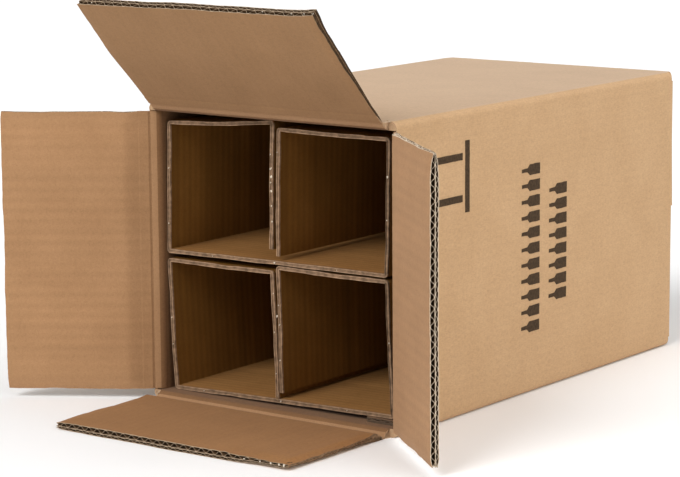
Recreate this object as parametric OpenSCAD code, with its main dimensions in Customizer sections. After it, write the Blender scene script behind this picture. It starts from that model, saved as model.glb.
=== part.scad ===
// Bottle shipping box: a double-wall carton lying on its side with its four flaps open, and two folded
// single-wall inserts inside that make four bottle cells.
// X runs across the opening, Y from the opening to the closed far end, Z up. The origin is the centre of the
// underside. Millimetres.

/* [Carton] */
// Outside width across the opening
carton_w = 220; // [160:1:300]
// Outside height of the opening
carton_h = 220; // [160:1:300]
// Length from the side flaps' creases to the far end
carton_len = 388; // [250:1:480]
// Outside radius of the four long folds
edge_r = 5; // [2:0.5:6]

/* [Double-wall board] */
// Thickness of each of the three flat liners
liner_t = 0.4; // [0.2:0.05:0.6]
// Height of the large fluting under the inside liner
c_height = 3.1; // [2.4:0.1:4]
// Pitch of the large fluting
c_pitch = 7.8; // [6.5:0.1:9]
// Height of the small fluting under the outside liner
b_height = 1.9; // [1.4:0.1:2.8]
// Pitch of the small fluting
b_pitch = 6.5; // [5.5:0.1:7.5]
// Thickness of the fluting paper, measured across the board
medium_t = 0.45; // [0.3:0.05:0.6]
// Half the width of the strip that glues a flute to a liner
flute_flat = 0.45; // [0.3:0.05:0.7]

/* [Flaps] */
// Gap between opposite flaps when they are closed
flap_gap = 4; // [1:0.5:12]
// Clearance between a flap's side edge and the wall beside it
side_clear = 0.8; // [0.5:0.1:4]
// Gap between the side flaps and the upper and lower flaps when all are closed
layer_gap = 0.3; // [0.2:0.1:2]
// Set-back of each scored edge from the crease line
crease_gap = 0.3; // [0.2:0.05:0.6]
// Thickness to which a score presses the board at the crease
score_t = 3; // [1.5:0.1:4]
// Distance from the crease at which the board is back at its full thickness
score_run = 7.5; // [5:0.5:14]
// Length of board between the score and the open flutes
shut_run = 6.5; // [2:0.5:20]
// Angle of the left flap from closed
left_angle = 147; // [0:1:260]
// Angle of the upper flap from closed
upper_angle = 138; // [0:1:260]
// Angle of the right flap from closed
right_angle = 140; // [0:1:260]
// Angle of the lower flap from closed
lower_angle = 90; // [0:1:260]

/* [Far end] */
// Seam between two end flaps that meet
end_seam = 2; // [1:0.5:6]
// Angle by which the upper end flap springs out
end_bow = 1.9; // [0:0.1:4]

/* [Glue tab] */
// Width of the tab inside the lower right fold
tab_w = 30; // [20:1:45]
// Pressed thickness of the tab
tab_t = 3.6; // [2:0.1:5]
// Clearance between the closed right flap and the tab's front edge
tab_clear = 0.8; // [0.5:0.1:6]
// Length of the slanted front corner
tab_taper = 10; // [4:1:15]
// Depth of the open flutes at the tab's front edge
tab_open = 12; // [4:1:20]

/* [Inserts] */
// Thickness of the single-wall insert board
insert_t = 3; // [2:0.1:4]
// Thickness of each liner of the insert board
insert_liner = 0.6; // [0.4:0.05:0.8]
// Swelling of the insert board at its folds
fold_swell = 0.1; // [0.05:0.05:0.4]
// Depth of the groove between the liners at a cut edge
edge_groove = 1.2; // [0.6:0.1:2.5]
// Clearance between the closed side flaps and the inserts' front edges
insert_clear = 2.8; // [0.5:0.1:15]
// Clearance between an insert and what it rests on or stops against
rest_clear = 0.1; // [0.05:0.05:0.3]
// Sideways play of the inserts in the carton
insert_play = 8.6; // [8:0.1:14]
// Clearance between the upper insert's highest fold and the upper wall
head_clear = 1.5; // [0.5:0.1:10]
// Shortfall of the centre walls against the side walls
centre_short = 4; // [3.5:0.1:20]
// Gap between the two centre walls at their folds
centre_apart = 2.8; // [2.6:0.1:8]
// Set of the lower insert off the middle
lower_shift = 1.5; // [-2:0.5:3]
// Sideways lean of the lower insert's side walls over their height
lower_lean = -2.6; // [-3:0.1:3]
// Rise of the lower insert's left top panel towards the middle
lower_rise_left = -1.6; // [-2:0.1:2]
// Rise of the lower insert's right top panel towards the middle
lower_rise_right = 2.2; // [0:0.1:3]
// Run of the lower insert's left centre wall from fold to free end
lower_run_left = 2.3; // [0:0.1:2.4]
// Set of the upper insert off the middle
upper_shift = -3.5; // [-4:0.5:0]
// Sideways lean of the upper insert's side walls over their height
upper_lean = 3; // [-2:0.1:4]
// Angle at which the upper insert lies
upper_tilt = 0.5; // [0:0.1:1]
// Rise of the upper insert's left top panel towards the middle
upper_rise_left = 5.6; // [0:0.1:6]
// Rise of the upper insert's right top panel towards the middle
upper_rise_right = 1; // [0:0.1:5]
// Run of the upper insert's centre walls from fold to free end
upper_run = -2.6; // [-3:0.1:0]

/* [Hidden] */
$fn = 48;

kraft_out = [0.76, 0.62, 0.46];
kraft_in = [0.68, 0.52, 0.37];
kraft_insert = [0.60, 0.45, 0.31];

// Overshoot of a cut past the face that it opens
over = 1;

board_t = 3 * liner_t + b_height + c_height;
inside_w = carton_w - 2 * board_t;
inside_h = carton_h - 2 * board_t;
flap_len = (min(carton_w, carton_h) - flap_gap) / 2;
flute_start = score_run + shut_run;
side_flap_w = inside_h - 2 * side_clear;
main_flap_w = inside_w - 2 * side_clear;

// Places along the carton: the two pairs of creases, the far end's layers and the inserts
side_crease_y = -carton_len / 2;
main_crease_y = side_crease_y - board_t - layer_gap;
far_y = carton_len / 2;
end_outer_y = far_y - board_t;
end_inner_y = far_y - 2 * board_t;
insert_front_y = side_crease_y + board_t + insert_clear;
insert_back_y = end_inner_y - rest_clear;

// Inserts: widths between folds, and the glue tab that lifts the lower one's right side
bottom_w = inside_w - insert_t - insert_play;
centre_gap = insert_t + centre_apart;
left_fold_x = (bottom_w - centre_gap) / 2;
right_fold_x = (bottom_w + centre_gap) / 2;
tab_left_x = inside_w / 2 - tab_w;
lower_left_x = lower_shift - bottom_w / 2;
lower_tilt = atan(tab_t / (tab_left_x - lower_left_x));

// Wall height at which the two inserts, one on the other, fill the carton up to the head clearance
lower_lift = (right_fold_x + lower_lean) * sin(lower_tilt) + lower_rise_right;
upper_lift = (upper_lean - centre_gap / 2 + upper_shift) * sin(upper_tilt) + upper_rise_left;
side_h = (inside_h - head_clear - lower_lift - upper_lift) / 2 - insert_t - rest_clear;
centre_h = side_h - centre_short;
lower_path = set_down(
    insert_path(lower_lean, [lower_rise_left, lower_rise_right], [lower_run_left, 0]),
    lower_tilt,
    lower_left_x,
    board_t + rest_clear + (insert_t + fold_swell) / 2);

// The upper insert rests on the highest fold of the lower one
lower_top = max([for (p = lower_path) p[1]]) + (insert_t + fold_swell) / 2;
upper_path = set_down(
    insert_path(upper_lean, [upper_rise_left, upper_rise_right], [upper_run, upper_run]),
    upper_tilt,
    upper_shift - bottom_w / 2,
    lower_top + rest_clear + insert_t / (2 * cos(upper_tilt)) - (bottom_w / 2 - upper_shift) * tan(upper_tilt));

function turned(p, angle) = [p[0] * cos(angle) - p[1] * sin(angle), p[0] * sin(angle) + p[1] * cos(angle)];

// Middle line of an insert's board, seen from the opening, from the free end of the left centre wall round
// the two cells to the free end of the right one. The lower left fold is at the origin.
function insert_path(lean, rises, runs) =
    let (
        left_top = [left_fold_x + lean, side_h + rises[0]],
        right_top = [right_fold_x + lean, side_h + rises[1]])
    [
        left_top + [runs[0], -centre_h],
        left_top,
        [lean, side_h],
        [0, 0],
        [bottom_w, 0],
        [bottom_w + lean, side_h],
        right_top,
        right_top + [runs[1], -centre_h],
    ];

function set_down(path, angle, x, z) = [for (p = path) turned(p, angle) + [x, z]];

// Outline of the carton's long walls
module rounded_rect(w, h, r) {
    translate([r - w / 2, 0])
        square([w - 2 * r, h]);
    translate([-w / 2, r])
        square([w, h - 2 * r]);
    for (x = [r - w / 2, w / 2 - r], z = [r, h - r])
        translate([x, z])
            circle(r);
}

// Open channels on both sides of one fluting paper
module flute_row(width, pitch, height) {
    reach = height - medium_t;
    half = pitch / 2 - flute_flat;
    channel = [[-half, 0], [half, 0], [flute_flat, reach], [-flute_flat, reach]];
    last = ceil(width / pitch / 2);
    for (i = [-last : last]) {
        translate([i * pitch, 0])
            polygon(channel);
        translate([(i + 0.5) * pitch, height])
            mirror([0, 1])
                polygon(channel);
    }
}

// Channels of both flutings between the three liners, with the flutes pressed to a part of their height
module board_channels(width, pressed) {
    translate([0, liner_t])
        flute_row(width, b_pitch, b_height * pressed);
    translate([0, 2 * liner_t + b_height * pressed])
        flute_row(width, c_pitch, c_height * pressed);
}

// Cut edge of the double-wall board, outside liner at the bottom
module board_section(width) {
    difference() {
        translate([-width / 2, 0])
            square([width, board_t]);
        board_channels(width, 1);
    }
}

// Board beside a crease, which thins to the score and ends at 45 degrees, so that two of them fold square.
// X runs along the crease, Y away from it, Z from the outside to the inside.
module scored_edge(width) {
    translate([-width / 2, 0, 0])
        rotate([90, 0, 90])
            linear_extrude(width)
                polygon([
                    [crease_gap, 0],
                    [flute_start, 0],
                    [flute_start, board_t],
                    [score_run, board_t],
                    [crease_gap + score_t, score_t],
                ]);
}

// What a score takes off the inside of a wall of full thickness, in the same axes
module score_cut(width) {
    translate([-width / 2, 0, 0])
        rotate([90, 0, 90])
            linear_extrude(width)
                polygon([
                    [crease_gap - over, -over],
                    [crease_gap + score_t, score_t],
                    [score_run, board_t],
                    [score_run, board_t + over],
                    [-over, board_t + over],
                    [-over, -over],
                ]);
}

// One flap with its crease on the X axis, outside down
module flap_board(width) {
    scored_edge(width);
    translate([0, flap_len, 0])
        rotate([90, 0, 0])
            linear_extrude(flap_len - flute_start)
                board_section(width);
}

// Turns a flap board about a crease: side counts quarter turns from the upper flap, angle is 0 when closed
module hinged(crease, side, angle) {
    translate(crease)
        rotate([0, 90 * side, 0])
            rotate([270 - angle, 0, 0])
                children();
}

// Long walls, with the upper and lower ones carried on to their own creases, and all four creases scored
module wall_tube() {
    difference() {
        union() {
            translate([0, end_inner_y, 0])
                rotate([90, 0, 0])
                    linear_extrude(end_inner_y - side_crease_y)
                        difference() {
                            rounded_rect(carton_w, carton_h, edge_r);
                            translate([-inside_w / 2, board_t])
                                square([inside_w, inside_h]);
                        }
            for (z = [0, carton_h - board_t])
                translate([-main_flap_w / 2, main_crease_y, z])
                    cube([main_flap_w, side_crease_y - main_crease_y + board_t, board_t]);
        }
        for (side = [0 : 3])
            translate([0, side % 2 == 0 ? main_crease_y : side_crease_y, carton_h / 2])
                rotate([0, 90 * side, 0])
                    translate([0, 0, (side % 2 == 0 ? carton_h : carton_w) / 2])
                        mirror([0, 0, 1])
                            score_cut(side % 2 == 0 ? inside_w : inside_h);
    }
}

// Quarter round on the outside of a fold whose inside corner is at the origin
module folded_corner() {
    intersection() {
        circle(board_t);
        square(board_t);
    }
}

// One end flap seen along its fold, whose inside corner is at the origin, with its lap onto the wall
module end_flap_section(reach, lap, bow) {
    folded_corner();
    translate([-lap, 0])
        square([lap, board_t]);
    rotate(bow)
        translate([0, -reach])
            square([board_t, reach]);
}

// Side end flaps, folded in first
module inner_end_flaps() {
    reach = (inside_w - end_seam) / 2;
    translate([0, 0, (carton_h - side_flap_w) / 2])
        linear_extrude(side_flap_w)
            for (left = [0, 1])
                mirror([left, 0])
                    translate([inside_w / 2, end_inner_y])
                        mirror([1, -1])
                            end_flap_section(reach, board_t, 0);
}

// Main end flaps, folded over the side ones and meeting at mid-height
module outer_end_flaps() {
    reach = (carton_h - end_seam) / 2 - board_t;
    translate([-main_flap_w / 2, 0, 0])
        rotate([90, 0, 90])
            linear_extrude(main_flap_w) {
                translate([end_outer_y, carton_h - board_t])
                    end_flap_section(reach, 2 * board_t, end_bow);
                translate([end_outer_y, board_t])
                    mirror([0, 1])
                        end_flap_section(reach, 2 * board_t, 0);
            }
}

// Flange of the right wall, glued to the lower wall
module glue_tab() {
    front = side_crease_y + board_t + tab_clear;
    right_x = inside_w / 2;
    pressed = (tab_t - 3 * liner_t) / (b_height + c_height);
    translate([0, 0, board_t])
        difference() {
            linear_extrude(tab_t)
                polygon([
                    [tab_left_x + tab_taper / 2, front],
                    [right_x + board_t / 2, front],
                    [right_x + board_t / 2, end_inner_y],
                    [tab_left_x, end_inner_y],
                    [tab_left_x, front + tab_taper],
                ]);
            translate([right_x - tab_w / 2, front + tab_open, 0])
                rotate([90, 0, 0])
                    linear_extrude(tab_open + over)
                        intersection() {
                            translate([-tab_w / 2, 0])
                                square([tab_w, tab_t]);
                            board_channels(tab_w, pressed);
                        }
        }
}

module outer_carton() {
    color(kraft_out) {
        wall_tube();
        inner_end_flaps();
        outer_end_flaps();
        glue_tab();
    }
}

module flap_upper() {
    color(kraft_in)
        hinged([0, main_crease_y, carton_h], 0, upper_angle)
            flap_board(main_flap_w);
}

module flap_right() {
    color(kraft_in)
        hinged([carton_w / 2, side_crease_y, carton_h / 2], 1, right_angle)
            flap_board(side_flap_w);
}

module flap_lower() {
    color(kraft_in)
        hinged([0, main_crease_y, 0], 2, lower_angle)
            flap_board(main_flap_w);
}

module flap_left() {
    color(kraft_in)
        hinged([-carton_w / 2, side_crease_y, carton_h / 2], 3, left_angle)
            flap_board(side_flap_w);
}

// Strip of board of thickness t along a path, with round folds
module folded_section(path, t) {
    for (i = [0 : len(path) - 2]) {
        along = path[i + 1] - path[i];
        translate(path[i])
            rotate(atan2(along[1], along[0]))
                translate([0, -t / 2])
                    square([norm(along), t]);
    }
    for (i = [1 : len(path) - 2])
        translate(path[i])
            circle(d = t + fold_swell);
}

// Folded insert along the carton, with the groove between the liners open at both cut ends
module insert(path) {
    length = insert_back_y - insert_front_y;
    translate([0, insert_back_y, 0])
        rotate([90, 0, 0])
            difference() {
                linear_extrude(length)
                    folded_section(path, insert_t);
                for (z = [-over, length - edge_groove])
                    translate([0, 0, z])
                        linear_extrude(edge_groove + over)
                            folded_section(path, insert_t - 2 * insert_liner);
            }
}

module insert_upper() {
    color(kraft_insert)
        insert(upper_path);
}

module insert_lower() {
    color(kraft_insert)
        insert(lower_path);
}

outer_carton();
flap_upper();
flap_lower();
flap_left();
flap_right();
insert_upper();
insert_lower();
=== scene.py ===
"""Bottle shipping box: looks, floor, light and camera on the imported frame.

Lengths are in millimetres until a mesh is made.
"""
import math

import bpy
import numpy as np
from mathutils import Matrix, Vector


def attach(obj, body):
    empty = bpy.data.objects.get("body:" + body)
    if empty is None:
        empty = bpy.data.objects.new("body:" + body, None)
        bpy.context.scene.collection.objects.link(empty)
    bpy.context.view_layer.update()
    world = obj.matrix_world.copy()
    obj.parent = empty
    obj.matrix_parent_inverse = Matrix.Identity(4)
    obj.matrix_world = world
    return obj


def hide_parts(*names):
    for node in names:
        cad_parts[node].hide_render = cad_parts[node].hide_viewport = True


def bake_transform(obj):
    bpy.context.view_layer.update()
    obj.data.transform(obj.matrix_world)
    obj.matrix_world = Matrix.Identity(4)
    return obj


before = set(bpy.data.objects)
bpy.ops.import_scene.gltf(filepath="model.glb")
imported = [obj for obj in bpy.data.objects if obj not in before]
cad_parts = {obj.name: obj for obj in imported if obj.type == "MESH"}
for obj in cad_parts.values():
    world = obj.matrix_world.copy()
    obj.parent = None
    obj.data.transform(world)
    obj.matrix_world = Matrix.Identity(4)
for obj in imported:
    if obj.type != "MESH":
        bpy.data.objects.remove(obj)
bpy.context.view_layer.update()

MM = 0.001
TAU = 2 * math.pi

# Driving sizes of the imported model
CARTON = 220.0
CARTON_LEN = 388.0
EDGE_R = 5.0
LINER = 0.4
B_HEIGHT, B_PITCH = 1.9, 6.5
C_HEIGHT, C_PITCH = 3.1, 7.8
FLAP_GAP = 4.0
SIDE_CLEAR = 0.8
LAYER_GAP = 0.3
CREASE_GAP = 0.3
SCORE_T, SCORE_RUN = 3.0, 7.5
TAB_W, TAB_T, TAB_CLEAR = 30.0, 3.6, 0.8
INSERT_T, INSERT_LINER = 3.0, 0.6
INSERT_CLEAR = 2.8
INSERT_PLAY = 8.6
REST_CLEAR = 0.1
HEAD_CLEAR = 1.5
FOLD_SWELL = 0.1
CENTRE_APART, CENTRE_SHORT = 2.8, 4.0

# Sizes and places that follow from them
BOARD = 3 * LINER + B_HEIGHT + C_HEIGHT
INSIDE_W = CARTON - 2 * BOARD
FLAP_LEN = (CARTON - FLAP_GAP) / 2
FLAP_W = INSIDE_W - 2 * SIDE_CLEAR
FLAP_HALF = FLAP_W / 2
SIDE_CREASE_Y = -CARTON_LEN / 2
MAIN_CREASE_Y = SIDE_CREASE_Y - BOARD - LAYER_GAP
END_OUTER_Y = CARTON_LEN / 2 - BOARD
END_INNER_Y = END_OUTER_Y - BOARD
TAB_FRONT_Y = SIDE_CREASE_Y + BOARD + TAB_CLEAR
INSERT_FRONT_Y = SIDE_CREASE_Y + BOARD + INSERT_CLEAR
INSERT_BACK_Y = END_INNER_Y - REST_CLEAR
BOTTOM_W = INSIDE_W - INSERT_T - INSERT_PLAY
CENTRE_GAP = INSERT_T + CENTRE_APART

# Quarter turns from the upper flap, angle from closed, and the crease's place
FLAPS = {
    "flap_upper": (0, 138.0, (0.0, MAIN_CREASE_Y, CARTON)),
    "flap_right": (1, 140.0, (CARTON / 2, SIDE_CREASE_Y, CARTON / 2)),
    "flap_lower": (2, 90.0, (0.0, MAIN_CREASE_Y, 0.0)),
    "flap_left": (3, 147.0, (-CARTON / 2, SIDE_CREASE_Y, CARTON / 2)),
}

# How each of the two folded inserts lies, seen from the opening
LOWER = {"shift": 1.5, "lean": -2.6, "rises": (-1.6, 2.2), "runs": (2.3, 0.0)}
UPPER = {"shift": -3.5, "lean": 3.0, "rises": (5.6, 1.0), "runs": (-2.6, -2.6)}
UPPER_TILT = math.radians(0.5)

# Wear of each flap: how far from its crease it is pressed down, how far its middle bows inwards,
# the share of the board's height that is lost at its local -x and +x side edges,
# and which of these edges show pale torn paper
FLAP_PRESSED = {"flap_upper": 64.0, "flap_right": 12.0, "flap_lower": 10.0, "flap_left": 18.0}
FLAP_BOW = {"flap_upper": -0.4, "flap_right": 0.3, "flap_lower": -0.1, "flap_left": 0.7}
FLAP_PINCH = {
    "flap_upper": (0.12, 0.34),
    "flap_right": (0.38, 0.38),
    "flap_lower": (0.72, 0.30),
    "flap_left": (0.40, 0.40),
}
PALE_SIDES = {"flap_upper": (), "flap_right": (-1, 1), "flap_lower": (1,), "flap_left": (-1, 1)}

# Thickness of a wall and of a flap right at the crease
WALL_FOOT, FLAP_FOOT = 0.6, 1.2

rng = np.random.default_rng(7)


def smooth(t):
    """An even S-curve from 0 to 1."""
    t = np.clip(t, 0.0, 1.0)
    return t * t * (3 - 2 * t)


def rise(value, start, end):
    """Goes smoothly from 0 at the start to 1 at the end."""
    return smooth((value - start) / (end - start))


def wobble(x, seed, waves=5, longest=90.0):
    """A smooth uneven line of about unit height, summed from waves that get shorter and weaker."""
    shorter, weaker, height = 1.9, 0.62, 1.8
    r = np.random.default_rng(seed)
    total = np.zeros_like(np.asarray(x, float))
    for k in range(waves):
        length = longest / shorter ** k
        phase = r.uniform(0, 6.28)
        total = total + np.sin(np.asarray(x) * TAU / length + phase) * weaker ** k
    return total / height


# Materials

def preset(node, values):
    """Sets inputs of a shader node by name."""
    for name, value in values.items():
        node.inputs[name].default_value = value


def carton_masks(nt, place):
    """Masks for the outer faces and far end, the cut edges at the front corners, and the tab's front edge,
    which is painted dark as shade.
    """
    def math_node(kind, a, b):
        n = nt.nodes.new("ShaderNodeMath")
        n.operation = kind
        for value, slot in ((a, n.inputs[0]), (b, n.inputs[1])):
            if isinstance(value, float):
                slot.default_value = value
            else:
                nt.links.new(value, slot)
        return n.outputs[0]

    def both(a, b):
        return math_node("MULTIPLY", a, b)

    # The masks' borders lie this far off the faces that they part
    hair, far_hair = 0.1, 1.0
    split = nt.nodes.new("ShaderNodeSeparateXYZ")
    nt.links.new(place, split.inputs[0])
    x, y, z = (split.outputs[axis] for axis in "XYZ")
    half = CARTON / 2 * MM
    skin = half - BOARD * MM / 4
    across = math_node("ABSOLUTE", x, 0.0)
    upright = math_node("ABSOLUTE", math_node("SUBTRACT", z, half), 0.0)
    wide = math_node("GREATER_THAN", math_node("MAXIMUM", across, upright), skin)
    far = math_node("GREATER_THAN", y, (END_INNER_Y + far_hair) * MM)
    cut = math_node("LESS_THAN", y, (SIDE_CREASE_Y + 2 * hair) * MM)
    low = math_node("LESS_THAN", z, (BOARD + TAB_T + hair) * MM)
    high = math_node("GREATER_THAN", z, (BOARD + hair) * MM)
    inside = math_node("LESS_THAN", across, (INSIDE_W / 2 - hair) * MM)
    front = math_node("LESS_THAN", y, (TAB_FRONT_Y + 2 * hair) * MM)
    tab = both(both(low, high), both(inside, front))
    return math_node("MAXIMUM", wide, far), cut, tab


def along_axis(axis, on, off):
    """A scale that differs along one axis."""
    return tuple(on if a == axis else off for a in "XYZ")


def grey(value):
    """A colour of equal parts."""
    return (value, value, value)


def kraft(name, tones, rough=0.86, gloss=0.25, sheen=0.06, grain="Y", ribs=None, streaks=None, outer=None):
    """Brown paper: cloudy pulp, short fibres, specks, faint streaks over the flutes, and faint ribs over
    them, darker bands painted as shade.

    tones are (pale, mid, dark), ribs (axis, pitch, depth) and streaks (axis, scale, depth).
    outer holds the tones of the outside, for a carton whose inside has the first ones.
    """
    m = bpy.data.materials.new(name)
    m.use_nodes = True
    nt = m.node_tree
    link = nt.links.new
    bsdf = nt.nodes["Principled BSDF"]
    preset(bsdf, {"Roughness": rough, "Specular IOR Level": gloss})
    preset(bsdf, {"Sheen Weight": sheen, "Sheen Roughness": 0.6})
    place = nt.nodes.new("ShaderNodeTexCoord").outputs["Object"]

    def noise(scale, detail, stretch=(1, 1, 1)):
        mapping = nt.nodes.new("ShaderNodeMapping")
        preset(mapping, {"Scale": stretch})
        link(place, mapping.inputs["Vector"])
        n = nt.nodes.new("ShaderNodeTexNoise")
        preset(n, {"Scale": scale, "Detail": detail, "Roughness": 0.6})
        link(mapping.outputs["Vector"], n.inputs["Vector"])
        return n.outputs["Fac"]

    def ramp(fac, *stops):
        r = nt.nodes.new("ShaderNodeValToRGB")
        elements = r.color_ramp.elements
        for k in (0, -1):
            elements[k].position = stops[k][0]
            elements[k].color = (*stops[k][1], 1)
        for position, colour in stops[1:-1]:
            elements.new(position).color = (*colour, 1)
        link(fac, r.inputs["Fac"])
        return r.outputs["Color"]

    def toned(fac, shades):
        pale, mid, dark = shades
        return ramp(fac, (0.3, dark), (0.5, mid), (0.72, pale))

    def mix(kind, fac, a, b):
        x = nt.nodes.new("ShaderNodeMix")
        x.data_type, x.blend_type = "RGBA", kind
        preset(x, {"Factor": fac})
        link(a, x.inputs[6])
        link(b, x.inputs[7])
        return x.outputs[2]

    fibres = along_axis(grain, 0.16, 1)
    cloudy = noise(26, 4)
    colour = toned(cloudy, tones)
    if outer:
        for shades, mask in zip((outer, CUT, TAB_EDGE_SHADE), carton_masks(nt, place)):
            colour = mix("MIX", 0, colour, toned(cloudy, shades))
            link(mask, colour.node.inputs["Factor"])
    even = grey(1)
    pulp = ramp(noise(520, 5), (0.25, (0.80, 0.79, 0.78)), (0.5, even), (0.8, (1.16, 1.16, 1.17)))
    short = noise(1500, 3, fibres)
    fibre = ramp(short, (0.28, (0.80, 0.78, 0.75)), (0.5, even), (0.75, (1.13, 1.13, 1.14)))
    dots = noise(1150, 2)
    speck = ramp(dots, (0.20, (0.52, 0.47, 0.42)), (0.27, even), (0.79, even), (0.86, grey(1.25)))
    for share, layer in ((0.5, pulp), (0.55, fibre), (0.6, speck)):
        colour = mix("MULTIPLY", share, colour, layer)
    # Ribs darken bands over the flutes, as painted shade of the liner's washboard ripple
    if ribs:
        axis, pitch, depth = ribs
        w = nt.nodes.new("ShaderNodeTexWave")
        w.wave_type, w.bands_direction, w.wave_profile = "BANDS", axis, "SIN"
        # At a scale of 1, Blender's bands run through 20 radians in each metre
        preset(w, {"Scale": TAU / (pitch * MM) / 20, "Distortion": 0.6, "Detail": 1, "Detail Scale": 0.3})
        link(place, w.inputs["Vector"])
        ribbed = ramp(w.outputs["Fac"], (0.1, grey(1 - depth)), (0.9, even))
        colour = mix("MULTIPLY", 1.0, colour, ribbed)
    if streaks:
        axis, scale, depth = streaks
        drawn = noise(scale, 2, along_axis(axis, 1, 0.03))
        colour = mix("MULTIPLY", 1.0, colour, ramp(drawn, (0.3, grey(1 - depth)), (0.7, even)))
    link(colour, bsdf.inputs["Base Color"])
    bump = nt.nodes.new("ShaderNodeBump")
    preset(bump, {"Strength": 0.16, "Distance": 0.0004})
    link(noise(900, 5, fibres), bump.inputs["Height"])
    link(bump.outputs["Normal"], bsdf.inputs["Normal"])
    return m


def plain(name, colour, rough, scale, spread):
    """One colour with fine uneven tone, for ink, paper edges and the floor."""
    m = bpy.data.materials.new(name)
    m.use_nodes = True
    nt = m.node_tree
    bsdf = nt.nodes["Principled BSDF"]
    preset(bsdf, {"Roughness": rough, "Specular IOR Level": 0.2})
    place = nt.nodes.new("ShaderNodeTexCoord").outputs["Object"]
    n = nt.nodes.new("ShaderNodeTexNoise")
    preset(n, {"Scale": scale, "Detail": 4})
    nt.links.new(place, n.inputs["Vector"])
    r = nt.nodes.new("ShaderNodeValToRGB")
    dark, pale = r.color_ramp.elements
    dark.position, pale.position = 0.3, 0.7
    dark.color = (*[c * (1 - spread) for c in colour], 1)
    pale.color = (*[min(1, c * (1 + spread)) for c in colour], 1)
    nt.links.new(n.outputs["Fac"], r.inputs["Fac"])
    nt.links.new(r.outputs["Color"], bsdf.inputs["Base Color"])
    return m


# Tones of the papers: pale, mid and dark
OUTSIDE = ((0.560, 0.354, 0.186), (0.538, 0.336, 0.174), (0.515, 0.319, 0.162))
# The top's tones are the outside's made a little darker, as painted shade on the top, which takes most of the
# light
TOP_SHADED = ((0.540, 0.342, 0.178), (0.518, 0.323, 0.167), (0.496, 0.307, 0.156))
INSIDE = ((0.386, 0.211, 0.100), (0.364, 0.198, 0.092), (0.343, 0.184, 0.085))
# The upper flap's inner liner is darkened as painted shade, and the lower flap's is made warmer and darker as
# painted shade from bounced light and the right flap's shadow
SHADED = ((0.314, 0.170, 0.074), (0.295, 0.158, 0.067), (0.277, 0.147, 0.061))
LOWER_FLAP_SHADE = ((0.336, 0.159, 0.051), (0.316, 0.148, 0.046), (0.297, 0.137, 0.042))
# FOLDED is the inner liner's tone for the fold's lip by the crease; WALL_SHADE is a much darker copy, painted
# shade on the carton's inside and on the fold past its lip
FOLDED = ((0.345, 0.193, 0.094), (0.328, 0.181, 0.087), (0.311, 0.170, 0.080))
WALL_SHADE = ((0.213, 0.107, 0.044), (0.198, 0.098, 0.040), (0.183, 0.089, 0.036))
CUT = ((0.410, 0.265, 0.150), (0.380, 0.240, 0.133), (0.340, 0.212, 0.116))
# The glue tab's front edge, near black as painted shade in its open flutes
TAB_EDGE_SHADE = ((0.125, 0.084, 0.052), (0.098, 0.064, 0.038), (0.070, 0.044, 0.026))
# The inserts' board is set dark as painted shade for the deep cells, and the cell floors take a lighter copy
# of it as painted light
INSERT = ((0.266, 0.123, 0.028), (0.242, 0.110, 0.024), (0.218, 0.098, 0.020))
INSERT_FLOOR_LIT = ((0.346, 0.173, 0.059), (0.324, 0.160, 0.053), (0.298, 0.145, 0.047))

# Papers with the finish of a liner
kraft_outside = kraft("kraft_outside", OUTSIDE, ribs=("Z", B_PITCH, 0.018))
kraft_top = kraft("kraft_top", TOP_SHADED, rough=0.7, gloss=0.5, sheen=0.22, ribs=("X", B_PITCH, 0.018))
kraft_flap_shaded = kraft("kraft_flap_shaded", SHADED, ribs=("X", C_PITCH, 0.02), streaks=("X", 70, 0.05))
kraft_flap_z = kraft("kraft_flap_z", INSIDE, ribs=("Z", C_PITCH, 0.045), streaks=("Z", 80, 0.09))
kraft_flap_low_shaded = kraft("kraft_flap_low_shaded", LOWER_FLAP_SHADE, ribs=("X", C_PITCH, 0.02), streaks=("X", 70, 0.05))
kraft_fold = kraft("kraft_fold", FOLDED)
kraft_wall_shaded = kraft("kraft_wall_shaded", WALL_SHADE)
# The carton's inside faces take the darker copy as painted shade; its outer faces, far end, cut corners and
# tab edge take the other tones
kraft_carton = kraft("kraft_carton", WALL_SHADE, outer=OUTSIDE)
DULL = {"gloss": 0.05, "sheen": 0.0, "grain": "X"}
kraft_insert = kraft(
    "kraft_insert", INSERT, ribs=("Y", B_PITCH, 0.12), streaks=("Y", 70, 0.3), **DULL)
insert_floor_lit = kraft(
    "insert_floor_lit", INSERT_FLOOR_LIT, ribs=("Y", B_PITCH, 0.10), streaks=("Y", 60, 0.16), **DULL)

# Cut, torn and worn papers, some of the edges darkened as painted shade, and the ink
fluting = plain("fluting", (0.115, 0.063, 0.029), 0.95, 700, 0.25)
# Near black, as painted shade in the open flutes of the flaps' side edges
flute_side_shade = plain("flute_side_shade", (0.062, 0.034, 0.016), 0.95, 420, 0.6)
# Worn, rounded-over liner edges, set dark as painted shade
worn_edge_shaded = plain("worn_edge_shaded", (0.26, 0.165, 0.095), 0.95, 420, 0.4)
fold_end = plain("fold_end", (0.40, 0.26, 0.155), 0.95, 420, 0.45)
torn_side = plain("torn_side", (0.57, 0.45, 0.33), 0.95, 600, 0.25)
cut_paper = plain("cut_paper", (0.60, 0.485, 0.355), 0.92, 900, 0.22)
cut_dull = plain("cut_dull", (0.37, 0.275, 0.185), 0.92, 900, 0.25)
insert_edge = plain("insert_edge", (0.290, 0.185, 0.112), 0.95, 260, 0.40)
# The right panel's cut edges are darker, as painted shade from the carton's right wall and flap
insert_edge_shaded = plain("insert_edge_shaded", (0.125, 0.079, 0.046), 0.95, 260, 0.40)
insert_groove = plain("insert_groove", (0.190, 0.118, 0.070), 0.95, 260, 0.45)
frayed = plain("frayed", (0.66, 0.58, 0.47), 0.95, 800, 0.2)
ink = plain("ink", (0.060, 0.036, 0.018), 0.85, 500, 0.3)

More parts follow.
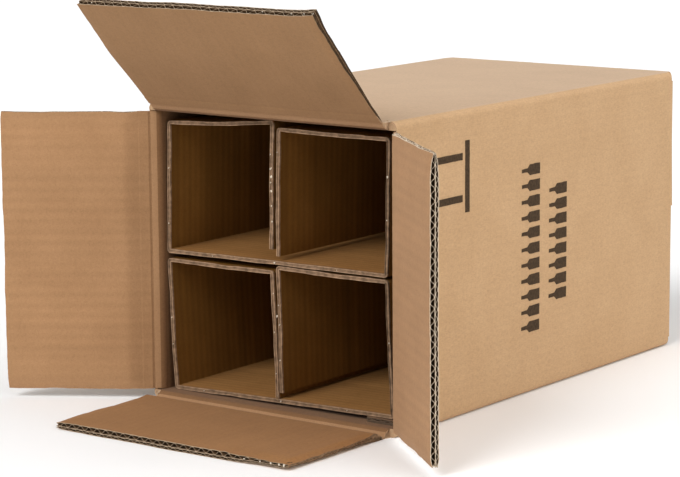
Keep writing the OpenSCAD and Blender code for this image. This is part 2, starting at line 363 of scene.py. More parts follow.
# Paper on the inner face of each flap; the upper and lower flaps take copies darkened as painted shade
FLAP_PAPER = {
    "flap_upper": kraft_flap_shaded,
    "flap_right": kraft_flap_z,
    "flap_lower": kraft_flap_low_shaded,
    "flap_left": kraft_flap_z,
}


# Mesh helpers

SHARP_ANGLE = 38


def make(name, verts, faces, materials, picks, body=None):
    """An object from points in millimetres, with a material picked for each face."""
    mesh = bpy.data.meshes.new(name)
    mesh.from_pydata((np.asarray(verts, float) * MM).tolist(), [], faces)
    for m in materials:
        mesh.materials.append(m)
    mesh.polygons.foreach_set("material_index", np.asarray(picks, np.int32))
    mesh.polygons.foreach_set("use_smooth", np.full(len(mesh.polygons), True))
    mesh.validate()
    mesh.update()
    obj = bpy.data.objects.new(name, mesh)
    bpy.context.scene.collection.objects.link(obj)
    mesh.set_sharp_from_angle(angle=math.radians(SHARP_ANGLE))
    if body:
        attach(obj, body)
    return obj


class Pieces:
    """Collects closed sheets into one mesh."""

    def __init__(self):
        self.verts, self.faces, self.picks = [], [], []

    def add(self, verts, faces, picks):
        base = sum(len(v) for v in self.verts)
        self.verts.append(np.asarray(verts, float))
        self.faces += [tuple(i + base for i in f) for f in faces]
        self.picks += list(picks)

    def sheet(self, top, bottom, pick_top, pick_bottom, pick_edge):
        """A closed sheet from two grids of points, with its four edges' picks from the first row round."""
        n, m = top.shape[:2]
        verts = np.concatenate([top.reshape(-1, 3), bottom.reshape(-1, 3)])
        off = n * m
        faces, picks = [], []
        for i in range(n - 1):
            for j in range(m - 1):
                a, b, c, d = i * m + j, (i + 1) * m + j, (i + 1) * m + j + 1, i * m + j + 1
                faces.append((a, b, c, d))
                faces.append((d + off, c + off, b + off, a + off))
                picks += [pick_top, pick_bottom]
        ring = list(range(m)) + [i * m + m - 1 for i in range(1, n)]
        ring += [(n - 1) * m + j for j in range(m - 2, -1, -1)] + [i * m for i in range(n - 2, 0, -1)]
        corners = (m - 1, m + n - 2, 2 * m + n - 3)
        for k, a in enumerate(ring):
            b = ring[(k + 1) % len(ring)]
            faces.append((a, b, b + off, a + off))
            picks.append(pick_edge[sum(k >= corner for corner in corners)])
        self.add(verts, faces, picks)

    def hang(self, name):
        """Moves what was made in a flap's own axes to the flap's place."""
        r, crease = flap_frame(name)
        self.verts = [v @ r.T + crease for v in self.verts]

    def build(self, name, materials, body):
        return make(name, np.concatenate(self.verts), self.faces, materials, self.picks, body)


def turn(axis, degrees):
    """A rotation matrix."""
    return np.array(Matrix.Rotation(math.radians(degrees), 3, axis))


def flap_frame(name):
    """A flap's axes, X along the crease, Y away from it and Z from the outer face inwards, and its crease."""
    side, angle, crease = FLAPS[name]
    return turn("Y", 90 * side) @ turn("X", 270 - angle), np.array(crease)


# Flaps: three liners and two flutings, with the wear of each flap

# Papers of a flap, by their place in its list of materials
INNER, OUTER, FLUTE, CUT_EDGE, TORN, FLUTE_SHADE, WORN_SHADED = range(7)

# Points across and rows along a liner that shows and one that is hidden, and rows along a fluting
FINE, COARSE, FLUTE_ROWS = (106, 24), (60, 14), 12
FLUTE_PAPER = 0.32
FLUTE_POINTS = 12
FLUTE_SHORT = 0.15
B_RIB, C_RIB = -0.03, 0.035

# Height towards which crushed flutes sink, and the least share of the board that is left
CRUSH_TO, CRUSH_LEAST = BOARD * 0.45, 0.3

# How far the cut at the free edge and at the side edges wavers
END_WAVER, SIDE_WAVER = 0.45, 0.35

# Torn side edges: how deep the torn face and the strip's back lie, and how far the tear goes in and out
TEAR_FACE, TEAR_BACK = 0.35, 1.1
TEAR_IN, TEAR_OUT = -0.5, 0.45


def flap_height(name, y):
    """Height of a flap's inner face at a distance from the crease, with the board pressed down to a foot."""
    t = np.clip(np.asarray(y, float) / FLAP_PRESSED[name], 0, 1)
    return FLAP_FOOT + (BOARD - FLAP_FOOT) * (0.7 * t + 0.3 * smooth(t))


def wall_height(y):
    """Height of a wall's inner face at a distance from the crease, with a rounded shoulder."""
    t = np.clip(np.asarray(y, float) / SCORE_RUN, 0, 1)
    return BOARD - (BOARD - WALL_FOOT) * (1 - t) ** 2.2


def near_end(y, reach):
    """Falls off from 1 at a flap's free edge."""
    return np.exp(-((FLAP_LEN - y) / reach) ** 2)


def crush(name, x, y):
    """Share of the board's height that is left at a place on a flap."""
    side = FLAPS[name][0]
    keep = 1 - 0.05 * near_end(y, 7) * (1 + wobble(x, 3 + side, 6, 60))
    if name == "flap_lower":
        keep = keep - 0.50 * near_end(y, 9) * rise(-x, 40, 85)
        keep = keep - 0.16 * near_end(y, 8) * rise(x, 82, 102)
    if name == "flap_right":
        keep = keep - 0.22 * near_end(y, 12) * rise(-x, 84, 102)
    pinch = np.where(x < 0, *FLAP_PINCH[name])
    if name == "flap_upper":
        pinch = pinch * (1 - rise(x, 80, 90) * rise(y, 88, 102))
    uneven = 0.85 + 0.3 * wobble(y, 33 + side, 5, 50)
    keep = keep - pinch * rise(np.abs(x), 97, FLAP_HALF) * uneven * rise(y, 8, 24)
    return np.clip(keep, CRUSH_LEAST, 1.0)


def bend(name, p):
    """Wear on a flap's local points: an uneven cut, crushed flutes, a slight bow and knocked corners."""
    q = p.copy()
    x, y, z = p[..., 0], p[..., 1], p[..., 2]
    seed = 20 + FLAPS[name][0]
    by_side = rise(np.abs(x), 90, FLAP_HALF) * rise(y, 6, 16)
    q[..., 1] += END_WAVER * rise(y, 70, FLAP_LEN) * wobble(x, seed, 6, 110)
    q[..., 0] += SIDE_WAVER * by_side * np.sign(x) * (wobble(y + x, seed + 9, 6, 70) - 1)
    crushed = CRUSH_TO + (z - CRUSH_TO) * crush(name, x, y)
    q[..., 2] = crushed * flap_height(name, y) / BOARD
    q[..., 2] += FLAP_BOW[name] * rise(y, 0, FLAP_LEN) * (1 - (x / FLAP_HALF) ** 2)
    if name == "flap_upper":
        knock = rise(x, 92, FLAP_HALF) * rise(y, 96, FLAP_LEN)
        q[..., 2] -= 0.7 * knock
        q[..., 1] += 0.5 * knock
    if name == "flap_lower":
        lift = rise(-x, 50, 100) * rise(y, 85, FLAP_LEN)
        q[..., 2] += 0.5 * lift
        q[..., 1] -= 1.0 * lift
        torn = rise(-x, 30, 50) * rise(y, 92, FLAP_LEN) * (z > BOARD * 0.9)
        q[..., 1] -= 1.7 * torn * np.clip(wobble(x, 77, 7, 30) + 0.35, 0, 1.5)
    return q


def score_start(z):
    """Where a layer of a flap begins, on the slant of the score."""
    return CREASE_GAP + z * SCORE_T / BOARD


def flap_sheet(pieces, name, z0, z1, grid, rib, picks):
    """One liner from the scored edge to the free edge, ribbed by the flutes under it."""
    pitch, height = rib
    nx, even = grid
    near = FLAP_PRESSED[name] / FLAP_LEN
    rows = np.concatenate([np.linspace(0, near, 9)[:-1], near + (1 - near) * np.linspace(0, 1, even)])
    x = np.linspace(-FLAP_HALF, FLAP_HALF, nx)[:, None] * np.ones(len(rows))
    grids = []
    for z in (z1, z0):
        start = score_start(z)
        y = start + (FLAP_LEN - start) * rows[None, :] * np.ones((nx, 1))
        ribbed = z + height * np.cos(x * TAU / pitch)
        grids.append(bend(name, np.stack([x, y, ribbed], -1)))
    pieces.sheet(grids[0], grids[1], *picks)


def flute_sheet(pieces, name, z0, z1, pitch, picks):
    """One fluting paper between two liners."""
    steps = int(FLAP_W / pitch * FLUTE_POINTS)
    x = np.linspace(-FLAP_HALF, FLAP_HALF, steps)[:, None] * np.ones(FLUTE_ROWS)
    start = score_start(z1)
    rows = np.linspace(0, 1, FLUTE_ROWS)
    y = start + (FLAP_LEN - FLUTE_SHORT - start) * rows[None, :] * np.ones((steps, 1))
    wave = np.sin(x * TAU / pitch)
    wave = np.sign(wave) * np.abs(wave) ** 0.85
    z = (z0 + z1) / 2 + (z1 - z0 - FLUTE_PAPER) / 2 * wave
    top = bend(name, np.stack([x, y, z + FLUTE_PAPER / 2], -1))
    bottom = bend(name, np.stack([x, y, z - FLUTE_PAPER / 2], -1))
    pieces.sheet(top, bottom, *picks)


def side_strip(pieces, name, end, pick):
    """Torn paper along a flap's side edge, where the cut runs with the flutes; where no torn paper shows, the
    strip is painted dark as shade.
    """
    rows, layers = 150, 5
    y = np.linspace(CREASE_GAP + SCORE_T + 0.5, FLAP_LEN - 0.6, rows)[:, None] * np.ones(layers)
    z = np.linspace(LINER, BOARD - LINER, layers)[None, :] * np.ones((rows, 1))
    seed = 50 + 4 * FLAPS[name][0] + (end > 0)
    r = np.random.default_rng(seed)
    ragged = 0.25 * wobble(y + 5 * z, seed, 7, 30) + 0.22 * r.normal(0, 1, (rows, layers))
    grids = []
    for depth, torn in ((TEAR_FACE, np.clip(ragged, TEAR_IN, TEAR_OUT)), (TEAR_BACK, np.zeros_like(ragged))):
        x = end * (FLAP_HALF - depth + torn)
        grids.append(bend(name, np.stack([x, y, z], -1)))
    if end < 0:
        grids.reverse()
    pieces.sheet(grids[1], grids[0], pick, pick, [pick] * 4)


def make_flap(name):
    """A flap's five papers and its side strips, torn or painted dark as shade, in place of the solid."""
    pieces = Pieces()
    # Side edges with no torn paper are painted dark as shade
    shade = WORN_SHADED if name == "flap_lower" else FLUTE_SHADE
    pale = [end in PALE_SIDES[name] for end in (-1, 1)]
    shaded_cut, worn_shaded_cut = (
        [CUT_EDGE if pale[0] else other, CUT_EDGE, CUT_EDGE if pale[1] else other, CUT_EDGE]
        for other in (shade, WORN_SHADED)
    )
    b_top = LINER + B_HEIGHT
    c_foot = b_top + LINER
    c_top = BOARD - LINER
    flap_sheet(pieces, name, 0.0, LINER, FINE, (B_PITCH, B_RIB), (FLUTE, OUTER, shaded_cut))
    flap_sheet(pieces, name, b_top, c_foot, COARSE, (B_PITCH, 0.0), (FLUTE, FLUTE, worn_shaded_cut))
    flap_sheet(pieces, name, c_top, BOARD, FINE, (C_PITCH, C_RIB), (INNER, FLUTE, worn_shaded_cut))
    flute_sheet(pieces, name, LINER, b_top, B_PITCH, (FLUTE, FLUTE, shaded_cut))
    flute_sheet(pieces, name, c_foot, c_top, C_PITCH, (FLUTE, FLUTE, shaded_cut))
    for end, is_pale in zip((-1, 1), pale):
        side_strip(pieces, name, end, TORN if is_pale else shade)
    pieces.hang(name)
    on_side = FLAPS[name][0] in (1, 3)
    outer, cut_edge = (kraft_outside, cut_paper) if on_side else (kraft_top, cut_dull)
    papers = [FLAP_PAPER[name], outer, fluting, cut_edge, torn_side, flute_side_shade, worn_edge_shaded]
    obj = pieces.build(name + "_board", papers, name)
    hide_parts(name)


# Folds: the liner carried round each crease, which fills the scored groove and bends with the flap

# Papers of a fold, by their place in its list of materials
LIP, ON_FLAP, BACK, FOLD_END, SHADED_ON_WALL = range(5)

# Distances of a section's points from the crease: the first is sunk in the board, the others stand proud
FOLD_STEPS = np.array([SCORE_RUN + 0.9, SCORE_RUN - 0.1, 6.8, 6.0, 5.2, 4.4, 3.6, 2.8, 2.0, 1.3, 0.7, 0.0])
FOLD_PROUD = np.where(FOLD_STEPS > SCORE_RUN, -0.06, 0.13)

# How far the lip's paper reaches from the crease, past which the wall side is painted darker as shade, and
# how far from it the fold begins and ends its turn
SHOULDER, BEND_AT = 3.0, 3.6

# A flap that stands further open than this has an arc of so many steps between the wall and itself
SQUARE_OPEN, ARC_STEPS = 95, 7
FOLD_POINTS = 61

# How uneven the crown of the fold is, and how far from it this dies away
CROWN_UNEVEN, CROWN_REACH = 0.09, 3.5


def make_fold(name):
    """A closed strip whose section runs in from the wall, round the crease and out along the flap."""
    side, angle, crease = FLAPS[name]
    opening = math.radians(angle)
    along = np.array([-math.sin(opening), math.cos(opening)])
    inward = np.array([math.cos(opening), math.sin(opening)])
    on_wall = wall_height(FOLD_STEPS) + FOLD_PROUD
    on_flap = flap_height(name, FOLD_STEPS) + FOLD_PROUD
    crown = on_wall[-1]
    on_flap[-1] = crown
    wall = list(zip(FOLD_STEPS, on_wall))
    arc = []
    flap = [tuple(along * a + inward * h) for a, h in zip(FOLD_STEPS[::-1], on_flap[::-1])]
    if angle > SQUARE_OPEN:
        right = math.pi / 2
        turns = [right + (opening - right) * k / ARC_STEPS for k in range(1, ARC_STEPS)]
        arc = [(crown * math.cos(t), crown * math.sin(t)) for t in turns]
    else:
        flap = flap[1:]
    back = [tuple(along * CREASE_GAP), (CREASE_GAP, 0.0)]
    section = np.array(wall + arc + flap + back)
    n = len(section)
    shown = n - len(back)
    radius = np.linalg.norm(section, axis=1)
    soft = np.clip(1 - np.abs(radius - crown) / CROWN_REACH, 0, 1) * (np.arange(n) < shown)

    # Before the quarter turns, X runs along the crease, Y into the carton and Z out of the upper wall
    ring = []
    for u in np.linspace(-FLAP_HALF, FLAP_HALF, FOLD_POINTS):
        uneven = 1 + soft * CROWN_UNEVEN * wobble(u, 60 + side, 6, 70)
        p = section * uneven[:, None]
        ring.append(np.stack([np.full(n, u), p[:, 0], -p[:, 1]], -1))
    spot = turn("Y", 90 * side)
    verts = np.array(ring).reshape(-1, 3) @ spot.T + np.array(crease)
    faces, picks = [], []
    for i in range(FOLD_POINTS - 1):
        for j in range(n):
            k = (j + 1) % n
            faces.append((i * n + j, i * n + k, (i + 1) * n + k, (i + 1) * n + j))
            if j < len(wall) - 1:
                # Past the lip the wall side takes the darker copy, painted shade
                picks.append(SHADED_ON_WALL if FOLD_STEPS[j] > SHOULDER else LIP)
            else:
                picks.append(ON_FLAP if j < shown - 1 else BACK)
    faces += [tuple(range(n - 1, -1, -1)), tuple(range((FOLD_POINTS - 1) * n, FOLD_POINTS * n))]
    picks += [FOLD_END, FOLD_END]
    papers = [kraft_fold, FLAP_PAPER[name], kraft_outside, fold_end, kraft_wall_shaded]
    obj = make("fold_" + name.split("_")[1], verts, faces, papers, picks)
    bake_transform(obj)


# Carton: the solid stays, and a thin liner with the flutes' ribs and a few dents wraps its long walls

# Points across a wall and along it, steps round a long fold, and how far the liner reaches into the board
WRAP_POINTS, WRAP_ROWS, WRAP_BENDS = 98, 44, 6
WRAP_IN = 0.4

# How far the liner stands off the wall: its mean, ribs, dents and least, and at its front edge
WRAP_LIFT, WRAP_RIB, WRAP_DENT, WRAP_LEAST, WRAP_FRONT = 0.06, 0.045, 0.10, 0.02, 0.005

# The walls with the main flaps, among the four from the top round
MAIN_WALLS = (0, 2)


def wrap_section():
    """Points round the carton, each with its normal, place across its wall and that wall, or -1 on a fold."""
    half = CARTON / 2
    core = half - EDGE_R
    points = []
    for wall in range(4):
        section = [(u, half, 0, 1, wall) for u in np.linspace(-core, core, WRAP_POINTS)]
        for b in np.radians(np.linspace(0, 90, WRAP_BENDS + 1)[1:-1]):
            nu, nv = math.sin(b), math.cos(b)
            section.append((core + EDGE_R * nu, core + EDGE_R * nv, nu, nv, -1))
        c, s = math.cos(-math.radians(90 * wall)), math.sin(-math.radians(90 * wall))
        for u, v, nu, nv, k in section:
            points.append((u * c - v * s, u * s + v * c, nu * c - nv * s, nu * s + nv * c, u, k))
    return points


def make_wrap():
    """The liner over the long walls, from the front creases to the far end's flaps."""
    half = CARTON / 2
    points = wrap_section()
    outer, inner = [], []
    for px, pz, nx, nz, u, k in points:
        main = k in MAIN_WALLS and abs(u) <= FLAP_HALF
        front = (MAIN_CREASE_Y if main else SIDE_CREASE_Y) + CREASE_GAP
        back = END_OUTER_Y if main else END_INNER_Y
        y = front + (back - front) * np.linspace(0, 1, WRAP_ROWS)
        lift = np.full(WRAP_ROWS, WRAP_LIFT)
        if k >= 0:
            lift = lift + WRAP_RIB * math.cos(u * TAU / B_PITCH)
            lift = lift + WRAP_DENT * wobble(y + 3 * u, 80 + k, 4, 160) * (1 - (u / half) ** 2)
        lift = np.maximum(lift, WRAP_LEAST)
        lift[0] = WRAP_FRONT
        sunk = np.full(WRAP_ROWS, -WRAP_IN)
        outer.append(np.stack([px + nx * lift, y, np.maximum(pz + half + nz * lift, 0.0)], -1))
        inner.append(np.stack([px + nx * sunk, y, pz + half + nz * sunk], -1))
    n, rows = len(points), WRAP_ROWS
    verts = np.concatenate([np.array(outer).reshape(-1, 3), np.array(inner).reshape(-1, 3)])
    off = n * rows
    on_side, on_main, at_end = range(3)
    faces, picks = [], []
    for i in range(n):
        j = (i + 1) % n
        pick = on_main if points[i][5] in MAIN_WALLS else on_side
        for r in range(rows - 1):
            a, b, c, d = i * rows + r, j * rows + r, j * rows + r + 1, i * rows + r + 1
            faces.append((d, c, b, a))
            faces.append((a + off, b + off, c + off, d + off))
            picks += [pick, pick]
        for r in (0, rows - 1):
            a, b = i * rows + r, j * rows + r
            faces.append((a, b, b + off, a + off) if r == 0 else (b, a, a + off, b + off))
            picks.append(at_end)
    obj = make("wall_liner", verts, faces, [kraft_outside, kraft_top, cut_paper], picks, "carton")


# Inserts: one folded sheet each, ribbed across, with the groove between the liners at the cut ends

# How far each panel of an insert bows at the opening, from the left centre wall round to the right one
BOWS = {
    "insert_upper": (0.2, 1.0, 0.2, 0.2, -0.2, 0.4, -0.3),
    "insert_lower": (-0.3, 0.3, -0.3, 0.2, 0.4, 0.5, 0.3),
}
FLOOR_PANEL, RIGHT_PANEL = 3, 4
INSERT_SEEDS = {"insert_upper": 100, "insert_lower": 140}

# How deep the bow, the crushed and fluttering edge and the uneven cut reach from the opening
BOW_DEPTH, WORN_DEPTH, NICK_DEPTH = 70.0, 14, 6

# How far the cut wavers and the edge flutters, and the share of the edge's thickness that is crushed
NICK_WAVER, FLUTTER, EDGE_CRUSH = 0.4, 0.22, 0.12
GROOVE = 0.6
INSERT_FOLD_R = 1.7
INSERT_RIB = 0.06
INSERT_ROWS = 232
PANEL_POINTS = 13

# Papers of an insert, by their place in its list of materials
SHEET, EDGE, GROOVE_FLOOR, LIT_CELL_FLOOR, SHADED_EDGE = range(5)


def insert_path(lay, side_h):
    """Middle line of the board from the left centre wall's free end round to the right one's."""
    left = np.array([(BOTTOM_W - CENTRE_GAP) / 2 + lay["lean"], side_h + lay["rises"][0]])
    right = np.array([(BOTTOM_W + CENTRE_GAP) / 2 + lay["lean"], side_h + lay["rises"][1]])
    drop = CENTRE_SHORT - side_h
    return np.array([
        left + (lay["runs"][0], drop), left, (lay["lean"], side_h), (0, 0),
        (BOTTOM_W, 0), (BOTTOM_W + lay["lean"], side_h), right, right + (lay["runs"][1], drop),
    ])


def laid(path, angle, x, z):
    """A path tilted about its lower left fold, which then goes to a place."""
    c, s = math.cos(angle), math.sin(angle)
    return path @ np.array([[c, s], [-s, c]]) + (x, z)


def insert_paths():
    """Both inserts in place: the lower one tips over the glue tab, the upper one rests on its top fold."""
    lower_left = LOWER["shift"] - BOTTOM_W / 2
    upper_left = UPPER["shift"] - BOTTOM_W / 2
    lower_tilt = math.atan(TAB_T / (INSIDE_W / 2 - TAB_W - lower_left))
    lower_right = (BOTTOM_W + CENTRE_GAP) / 2 + LOWER["lean"]
    lower_lift = lower_right * math.sin(lower_tilt) + LOWER["rises"][1]
    upper_off = UPPER["lean"] - CENTRE_GAP / 2 + UPPER["shift"]
    upper_lift = upper_off * math.sin(UPPER_TILT) + UPPER["rises"][0]
    side_h = (INSIDE_W - HEAD_CLEAR - lower_lift - upper_lift) / 2 - INSERT_T - REST_CLEAR
    fold_half = (INSERT_T + FOLD_SWELL) / 2
    lower = laid(insert_path(LOWER, side_h), lower_tilt, lower_left, BOARD + REST_CLEAR + fold_half)
    lower_top = lower[:, 1].max() + fold_half
    tilted = INSERT_T / (2 * math.cos(UPPER_TILT)) + upper_left * math.tan(UPPER_TILT)
    upper = laid(insert_path(UPPER, side_h), UPPER_TILT, upper_left, lower_top + REST_CLEAR + tilted)
    return {"insert_upper": upper, "insert_lower": lower}


def rounded_path(path, radius):
    """Points and normals along a path with rounded folds, and each point's panel and share of its bow."""
    path = [np.array(p, float) for p in path]
    points, normals, bows = [], [], []

    def put(p, d, panel, share):
        points.append(p)
        normals.append(np.array([-d[1], d[0]]))
        bows.append((panel, share))

    for i in range(len(path) - 1):
        d = path[i + 1] - path[i]
        length = np.linalg.norm(d)
        d = d / length
        start = 0.0 if i == 0 else radius
        stop = length if i == len(path) - 2 else length - radius
        for s in np.linspace(start, stop, PANEL_POINTS):
            put(path[i] + d * s, d, i, math.sin(math.pi * s / length))
        if i < len(path) - 2:
            e = path[i + 2] - path[i + 1]
            e = e / np.linalg.norm(e)
            p0, p1, p2 = path[i + 1] - d * radius, path[i + 1], path[i + 1] + e * radius
            for t in (0.25, 0.5, 0.75):
                p = (1 - t) ** 2 * p0 + 2 * t * (1 - t) * p1 + t * t * p2
                g = (1 - t) * d + t * e
                put(p, g / np.linalg.norm(g), i, 0.0)
    return np.array(points), np.array(normals), bows


def near_front(y, depth):
    """Falls off from 1 at the inserts' front to 0 at a depth behind it."""
    return smooth((INSERT_FRONT_Y + depth - y) / depth)


def make_insert(name, path):
    """A folded sheet as a row of loops, from the front groove over one face and back over the other."""
    points, normals, bows = rounded_path(path, INSERT_FOLD_R)
    shares = np.array([share for panel, share in bows])
    bow = np.array([BOWS[name][panel] for panel, share in bows]) * shares
    seed = INSERT_SEEDS[name]
    length = np.concatenate([[0], np.cumsum(np.linalg.norm(np.diff(points, axis=0), axis=1))])
    nick = NICK_WAVER * wobble(length, seed, 8, 60)
    flutter = FLUTTER * wobble(length, seed + 3, 6, 48) * shares
    pressed = 1 + wobble(length, seed + 7, 7, 40)
    loops = []

    def loop(offset, y, lift=0.0):
        worn = near_front(y, WORN_DEPTH)
        shift = offset * (1 - EDGE_CRUSH * worn * pressed) + lift
        shift = shift + bow * near_front(y, BOW_DEPTH) + flutter * worn
        p = points + normals * shift[:, None]
        loops.append(np.stack([p[:, 0], y + nick * near_front(y, NICK_DEPTH), p[:, 1]], -1))

    half, line = INSERT_T / 2, INSERT_T / 2 - INSERT_LINER
    front, back = INSERT_FRONT_Y, INSERT_BACK_Y
    rows = np.linspace(front, back, INSERT_ROWS)
    for offset, y in ((-line, front + GROOVE), (-line, front), (-half, front)):
        loop(offset, y)
    for y in rows[1:-1]:
        loop(-half, y, INSERT_RIB * math.cos(y * TAU / B_PITCH))
    for offset, y in ((-half, back), (-line, back), (-line, back - GROOVE)):
        loop(offset, y)
    for offset, y in ((line, back - GROOVE), (line, back), (half, back)):
        loop(offset, y)
    for y in rows[-2:0:-1]:
        loop(half, y, -INSERT_RIB * math.cos(y * TAU / B_PITCH))
    for offset, y in ((half, front), (line, front), (line, front + GROOVE)):
        loop(offset, y)
    n, m = len(points), len(loops)
    edge = {0, 1, 2, m - 2, m - 3, m - 4} | set(range(len(rows), len(rows) + 7))
    faces, picks = [], []
    for i in range(m):
        k = (i + 1) % m
        for j in range(n - 1):
            faces.append((i * n + j, i * n + j + 1, k * n + j + 1, k * n + j))
            panel = bows[j][0]
            # The right panel's edges take the painted shade
            if i in edge:
                picks.append(SHADED_EDGE if panel == RIGHT_PANEL else EDGE)
            elif i == m - 1:
                picks.append(GROOVE_FLOOR)
            else:
                # The cells' floors take the lighter copy, painted light
                picks.append(LIT_CELL_FLOOR if i > m // 2 and panel == FLOOR_PANEL else SHEET)
    faces += [tuple(i * n for i in range(m)), tuple(i * n + n - 1 for i in range(m - 1, -1, -1))]
    picks += [EDGE, EDGE]
    papers = [kraft_insert, insert_edge, insert_groove, insert_floor_lit, insert_edge_shaded]
    obj = make(name + "_sheet", np.array(loops).reshape(-1, 3), faces, papers, picks, "carton")
    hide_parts(name)


# Frayed bits

# On the inserts' cut edges, as x, z and size
NICKS = [
    (-5.3, 178, 2.3), (-5.0, 172, 3.0), (-5.6, 168, 1.8), (-4.9, 162, 2.8), (-5.2, 151, 1.8),
    (-4.8, 140, 2.2), (-5.7, 188, 1.4), (0.4, 190, 1.3), (96.0, 180, 2.4), (95.4, 150, 1.4),
    (-3.9, 60, 1.8), (0.9, 66, 1.6), (-100.2, 171, 1.4), (96.8, 64, 1.6), (-4.6, 88, 1.5),
    (1.0, 40, 1.4), (-98.8, 40, 1.3), (-2.6, 30, 1.5), (-3.0, 110.4, 2.2), (1.4, 9.9, 2.0),
    (-60, 109.8, 1.3), (52, 110.8, 1.2), (-1.2, 72, 2.2), (0.2, 80, 1.5), (-101, 130, 1.2),
    (-99.6, 60, 1.4), (60, 11.2, 1.3), (-70, 8.4, 1.2),
]
# At the carton's lower left front corner, as x, y, z and size
CORNER_BITS = [
    (-104.8, -194.8, 4.6, 2.2), (-106.6, -194.6, 3.2, 1.8),
    (-105.2, -195.2, 2.2, 1.5), (-108.0, -194.6, 5.0, 1.4),
]
# On a flap's edges, as place along the crease, distance from it and size
FLAP_BITS = {
    "flap_lower": [
        (-99, 107.6, 2.4), (-95, 107.8, 1.8), (-88, 107.8, 2.0),
        (-79, 107.9, 1.4), (-66, 108, 1.7), (-102, 104, 1.8),
    ],
    "flap_upper": [
        (102, 107, 1.8), (95, 107.8, 1.5), (84, 107.8, 1.2), (-90, 107.8, 1.2), (60, 107.9, 1.1),
    ],
    "flap_right": [
        (-102.6, 40, 1.8), (-102.6, 55, 1.5), (-102.6, 66, 2.0),
        (-102.6, 80, 1.6), (-102.4, 22, 1.8), (-102.3, 14, 1.5),
    ],
}
# Torn paper on the right end of the upper crease, as (y, z)
TORN_FRONT, TORN_BACK = MAIN_CREASE_Y + 0.2, SIDE_CREASE_Y + 0.2
TORN_END = [
    (TORN_FRONT, CARTON - 0.3), (TORN_BACK, CARTON - 0.2), (TORN_BACK, CARTON - 6.1),
    (TORN_BACK - 3.2, CARTON - 4.6), (TORN_FRONT, CARTON - 2.6),
]


def fray_bit(pieces, place, size, out):
    """A torn scrap of paper that stands out from an edge."""
    count = 7
    out = np.array(out, float)
    across = np.cross(out, (0.36, 0.48, 0.80))
    across /= np.linalg.norm(across)
    up = np.cross(out, across)
    t = np.linspace(0, TAU, count, endpoint=False)
    r = size * 0.5 * rng.uniform(0.5, 1.15, count)
    tilt = rng.uniform(-0.6, 0.6, 2)
    lift = 0.2 + 0.4 * r * (np.cos(t) * tilt[0] + np.sin(t) * tilt[1])
    rim = (r * np.cos(t) * 0.7)[:, None] * across + (r * np.sin(t))[:, None] * up + lift[:, None] * out
    tip, root = out * min(0.4 * size, 1.0), out * -1.1
    verts = np.concatenate([rim, [tip], [root]]) + np.array(place)
    faces = [(i, (i + 1) % count, count) for i in range(count)]
    faces += [((i + 1) % count, i, count + 1) for i in range(count)]
    pieces.add(verts, faces, [0] * len(faces))


def make_nicks():
    """Frayed bits on the inserts, at the carton's front corners and on the flaps, each on what carries it."""
    to_front, to_end = (0, -1, 0), (0, 1, 0)
    pieces = Pieces()
    for x, z, size in NICKS:
        fray_bit(pieces, (x, INSERT_FRONT_Y, z), size, to_front)
    pieces.build("edge_fray", [frayed], "carton")
    pieces = Pieces()
    for x, y, z, size in CORNER_BITS:
        fray_bit(pieces, (x, y, z), size, to_front)
    outline_prism(pieces, rough(TORN_END, 9, 0.35, 0.9), FLAP_HALF + 0.05, FLAP_HALF + 0.5, 1)
    pieces.build("corner_fray", [torn_side, fold_end], "carton")
    for name, bits in FLAP_BITS.items():
        pieces = Pieces()
        for x, y, size in bits:
            at_side = abs(x) > FLAP_HALF - 1.5
            place = bend(name, np.array([x, y, BOARD * 0.6]))
            fray_bit(pieces, place, size, (np.sign(x), 0, 0) if at_side else to_end)
        pieces.hang(name)
        pieces.build(name + "_fray", [frayed], name)


# Print on the right wall: plain upright marks by the opening, and rows of bottle outlines further back

def outline_prism(pieces, shape, x0=CARTON / 2 - 0.1, x1=CARTON / 2 + 0.32, pick=0):
    """A flat shape in (y, z) between two places across; print stands a hair off the right wall."""
    n = len(shape)
    verts = [(x1, y, z) for y, z in shape] + [(x0, y, z) for y, z in shape]
    faces = [tuple(range(n)), tuple(range(2 * n - 1, n - 1, -1))]
    faces += [(i + n, (i + 1) % n + n, (i + 1) % n, i) for i in range(n)]
    pieces.add(verts, faces, [pick] * len(faces))


def rough(points, seed, amount=0.06, step=3.0):
    """A closed outline with an uneven inked or torn edge."""
    out = []
    r = np.random.default_rng(seed)
    pts = [np.array(p, float) for p in points]
    for i, p in enumerate(pts):
        q = pts[(i + 1) % len(pts)]
        k = max(1, int(np.linalg.norm(q - p) / step))
        for s in range(k):
            out.append(tuple(p + (q - p) * s / k + r.normal(0, amount, 2)))
    return out


def bottle(y, z, tall, wide):
    """A bottle outline that stands with its neck towards the opening."""
    neck = wide * 0.32
    half = [(0, wide / 2), (0.56, wide / 2), (0.68, neck / 2 * 1.15), (1, neck / 2)]
    lower = [(y - tall * share, z - w) for share, w in half]
    upper = [(y - tall * share, z + w) for share, w in reversed(half)]
    return lower + upper


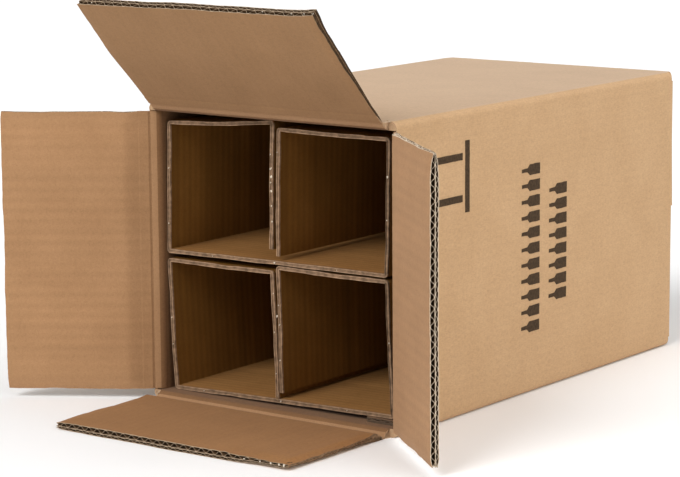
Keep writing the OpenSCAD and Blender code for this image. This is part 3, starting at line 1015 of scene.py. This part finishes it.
def make_print():
    """The marks on the right wall, whose rows of outlines hold the place of the words that are left off."""
    marks = Pieces()
    bar_y0, bar_y1, bar_z0, bar_z1 = -110.9, -105.4, 147.0, 198.3
    outline_prism(marks, rough([(bar_y0, bar_z0), (bar_y1, bar_z0), (bar_y1, bar_z1), (bar_y0, bar_z1)], 1))
    tip, neck, foot = -182.0, -164.0, -114.2
    head_w, shaft_w = 9.5, 2.5
    for k, z in enumerate((157.5, 187.3)):
        arrow = [
            (tip, z), (neck, z - head_w), (neck, z - shaft_w), (foot, z - shaft_w),
            (foot, z + shaft_w), (neck, z + shaft_w), (neck, z + head_w),
        ]
        outline_prism(marks, rough(arrow, 5 + k))
    marks.build("upright_marks", [ink], "carton")
    rows = Pieces()
    tall, wide, waver = 24.4, 8.0, 0.1
    for k, (y, low, high, count) in enumerate(((-12.6, 50.4, 167.4, 11), (24.9, 69.2, 148.8, 8))):
        for i, z in enumerate(np.linspace(low, high, count)):
            outline_prism(rows, rough(bottle(y, z, tall, wide), 40 * k + i, waver))
    rows.build("bottle_marks", [ink], "carton")


# Stage

# Suns by the direction that they shine from, with their strength and their spread in degrees
SUNS = {
    "key": ((0.25, 0.35, 1.0), 1.3, 70),
    "side": ((1.0, 0.0, 0.45), 0.95, 60),
    "side_front": ((1.0, -0.5, 0.45), 0.60, 60),
    "front": ((-0.02, -1.0, 0.80), 2.1, 30),
    "front_left": ((-0.55, -1.0, 0.45), 1.05, 50),
}


def make_stage():
    """A pale floor, a faint even sky and soft suns."""
    # The floor's reach to the sides and front and to the back, in metres
    wide, deep = 20, 30
    corners = [(-wide, -wide, 0), (wide, -wide, 0), (wide, deep, 0), (-wide, deep, 0)]
    floor = bpy.data.meshes.new("floor")
    floor.from_pydata(corners, [], [(0, 1, 2, 3)])
    floor.materials.append(plain("floor_paint", (0.965, 0.965, 0.965), 0.9, 3, 0.01))
    obj = bpy.data.objects.new("floor", floor)
    bpy.context.scene.collection.objects.link(obj)
    world = bpy.data.worlds.new("studio")
    world.use_nodes = True
    preset(world.node_tree.nodes["Background"], {"Color": (1, 1, 1, 1), "Strength": 0.05})
    bpy.context.scene.world = world
    for name, (aim, strength, spread) in SUNS.items():
        light = bpy.data.lights.new(name, "SUN")
        light.energy = strength
        light.angle = math.radians(spread)
        lamp = bpy.data.objects.new(name, light)
        lamp.rotation_euler = Vector(aim).to_track_quat("Z", "Y").to_euler()
        bpy.context.scene.collection.objects.link(lamp)
    bpy.context.scene.view_settings.view_transform = "Standard"


def make_camera():
    """The photograph's own camera, from a fit to the carton's corners."""
    azimuth, elevation, roll = (math.radians(a) for a in (36.684, 9.691, -0.409))
    place = Vector((1120.3, -1614.9, 438.1)) * MM
    focal_px, image_w, sensor = 2598.4, 680, 36.0
    level = math.cos(elevation)
    back = Vector((math.sin(azimuth) * level, -math.cos(azimuth) * level, math.sin(elevation)))
    right = (-back).cross(Vector((0, 0, 1))).normalized()
    up = right.cross(-back)
    c, s = math.cos(roll), math.sin(roll)
    right, up = c * right + s * up, -s * right + c * up
    camera = bpy.data.cameras.new("camera")
    camera.sensor_width = sensor
    camera.lens = focal_px * sensor / image_w
    camera.clip_end = 100
    obj = bpy.data.objects.new("camera", camera)
    m = Matrix((right, up, back)).transposed().to_4x4()
    m.translation = place
    obj.matrix_world = m
    bpy.context.scene.collection.objects.link(obj)
    bpy.context.scene.camera = obj


make_camera()
make_stage()
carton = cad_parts["outer_carton"]
carton.data.materials.clear()
carton.data.materials.append(kraft_carton)
make_wrap()
for flap_name in FLAPS:
    make_flap(flap_name)
    make_fold(flap_name)
for insert_name, middle_line in insert_paths().items():
    make_insert(insert_name, middle_line)
make_nicks()
make_print()
